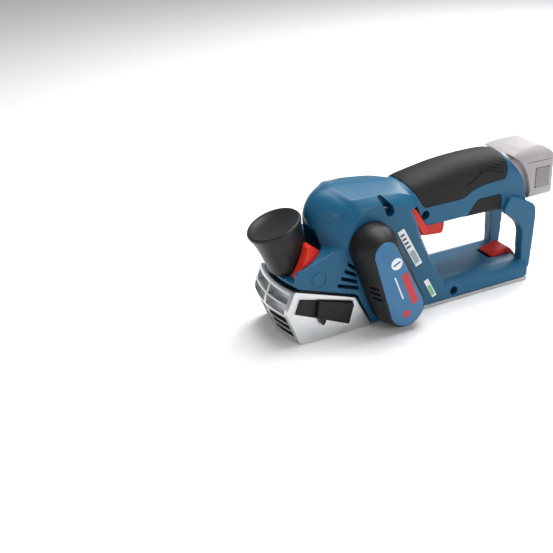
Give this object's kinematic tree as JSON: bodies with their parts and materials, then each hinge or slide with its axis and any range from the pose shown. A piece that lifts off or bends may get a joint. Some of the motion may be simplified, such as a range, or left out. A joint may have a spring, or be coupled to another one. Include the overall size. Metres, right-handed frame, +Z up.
{
  "type": "electric hand planer",
  "caption": "Compact battery hand planer with lifting front shoe, tilted depth knob, belt-driven cutter drum, looped rear handle and sliding battery pack",
  "frame": {"origin": "middle of the rear sole's bottom face, on the tool's centre plane", "axes": "+X rearward along the sole, +Y to the tool's right, +Z up from the sole"},
  "size_m": [0.2779, 0.0972, 0.1173],
  "materials": {
    "housing_blue": "satin moulded",
    "grip_rubber": "matte",
    "black_plastic": "fine texture",
    "knob_black": "satin",
    "red_plastic": "semi gloss",
    "cast_aluminium": "cast, polished ribs",
    "sole_aluminium": "milled",
    "steel": "turned",
    "motor_copper": "enamelled windings on steel",
    "belt_rubber": "matte",
    "battery_grey": "fine texture",
    "circuit_board": "potted",
    "inlay_blue": "satin film",
    "label_white": "printed film",
    "label_green": "printed film"
  },
  "bodies": {
    "housing": {"housing_left": "housing_blue", "housing_right": "housing_blue", "grip_left": "grip_rubber", "grip_right": "grip_rubber", "rear_insert_left": "grip_rubber", "rear_insert_right": "grip_rubber", "shoe_guard": "black_plastic", "belt_cover": "black_plastic", "switch_module": "black_plastic", "terminal_block": "black_plastic", "chip_outlet": "black_plastic", "rear_sole": "sole_aluminium", "shoe_spring": "steel", "drum_bearing_left": "steel", "drum_bearing_right": "steel", "motor_bearing_left": "steel", "motor_bearing_right": "steel", "trigger_spring": "steel", "park_rest_pin": "steel", "cover_screw": "steel", "housing_screw_1": "steel", "housing_screw_2": "steel", "housing_screw_3": "steel", "sole_screw_1": "steel", "sole_screw_2": "steel", "sole_screw_3": "steel", "sole_screw_4": "steel", "motor_stator": "motor_copper", "drive_belt": "belt_rubber", "electronics_board": "circuit_board", "cover_inlay": "inlay_blue", "side_label": "label_white", "rating_label": "label_green"},
    "shoe": {"front_shoe": "cast_aluminium", "shoe_block": "black_plastic"},
    "knob": {"depth_knob": "knob_black", "knob_spindle": "steel"},
    "lever": {"lock_lever": "red_plastic"},
    "drum": {"cutter_drum": "sole_aluminium", "drum_shaft": "steel", "blade_1": "steel", "blade_2": "steel", "blade_clamp_1": "steel", "blade_clamp_2": "steel", "clamp_screw_1": "steel", "clamp_screw_2": "steel", "clamp_screw_3": "steel", "clamp_screw_4": "steel", "drum_pulley": "black_plastic"},
    "rotor": {"motor_rotor": "steel", "cooling_fan": "black_plastic", "motor_pulley": "steel"},
    "trigger": {"trigger": "red_plastic"},
    "lock_off": {"lock_off_lever": "red_plastic"},
    "park_rest": {"park_rest": "red_plastic"},
    "battery": {"battery_pack": "battery_grey"},
    "button_left": {"battery_button_left": "battery_grey"},
    "button_right": {"battery_button_right": "battery_grey"}
  },
  "joints": [
    {"name": "knob_turn", "type": "hinge", "parent": "housing", "child": "knob", "pos_m": [-0.1509, 0, 0.057], "axis": [-0.3239, 0, 0.9461], "range_deg": [0, 300]},
    {"name": "shoe_slide", "type": "slide", "parent": "housing", "child": "shoe", "axis": [-0.3239, 0, 0.9461], "range_m": [0, 0.00211], "deforming": ["shoe_spring"]},
    {"name": "lever_swing", "type": "hinge", "parent": "housing", "child": "lever", "pos_m": [-0.1509, 0, 0.057], "axis": [-0.3239, 0, 0.9461], "range_deg": [0, 30]},
    {"name": "drum_spin", "type": "hinge", "parent": "housing", "child": "drum", "pos_m": [-0.076, 0, 0.021], "axis": [0, 1, 0], "continuous": true},
    {"name": "motor_spin", "type": "hinge", "parent": "housing", "child": "rotor", "pos_m": [-0.0955, 0, 0.0725], "axis": [0, 1, 0], "continuous": true},
    {"name": "trigger_pull", "type": "hinge", "parent": "housing", "child": "trigger", "pos_m": [-0.0345, 0, 0.0675], "axis": [0, -1, 0], "range_deg": [0, 7], "stiffness_Nm_per_rad": 0.8, "springref_deg": -171.89, "deforming": ["trigger_spring"]},
    {"name": "lock_off_swing", "type": "hinge", "parent": "housing", "child": "lock_off", "pos_m": [-0.0516, -0.02, 0.0862], "axis": [0, 1, 0], "range_deg": [0, 5], "stiffness_Nm_per_rad": 0.3, "springref_deg": -171.89},
    {"name": "park_swing", "type": "hinge", "parent": "housing", "child": "park_rest", "pos_m": [0.052, 0, 0.011], "axis": [0, 1, 0], "range_deg": [0, 35]},
    {"name": "battery_slide", "type": "slide", "parent": "housing", "child": "battery", "axis": [1, 0, 0], "range_m": [0, 0.08]},
    {"name": "button_left_press", "type": "slide", "parent": "battery", "child": "button_left", "axis": [0, 1, 0], "range_m": [0, 0.0018], "stiffness_N_per_m": 1500, "springref_m": -0.001},
    {"name": "button_right_press", "type": "slide", "parent": "battery", "child": "button_right", "axis": [0, -1, 0], "range_m": [0, 0.0018], "stiffness_N_per_m": 1500, "springref_m": -0.001}
  ],
  "couplings": [
    {"joint": "knob_turn", "follows": "shoe_slide", "rad_per_m": 2481.4},
    {"joint": "motor_spin", "follows": "drum_spin", "ratio": 2}
  ]
}
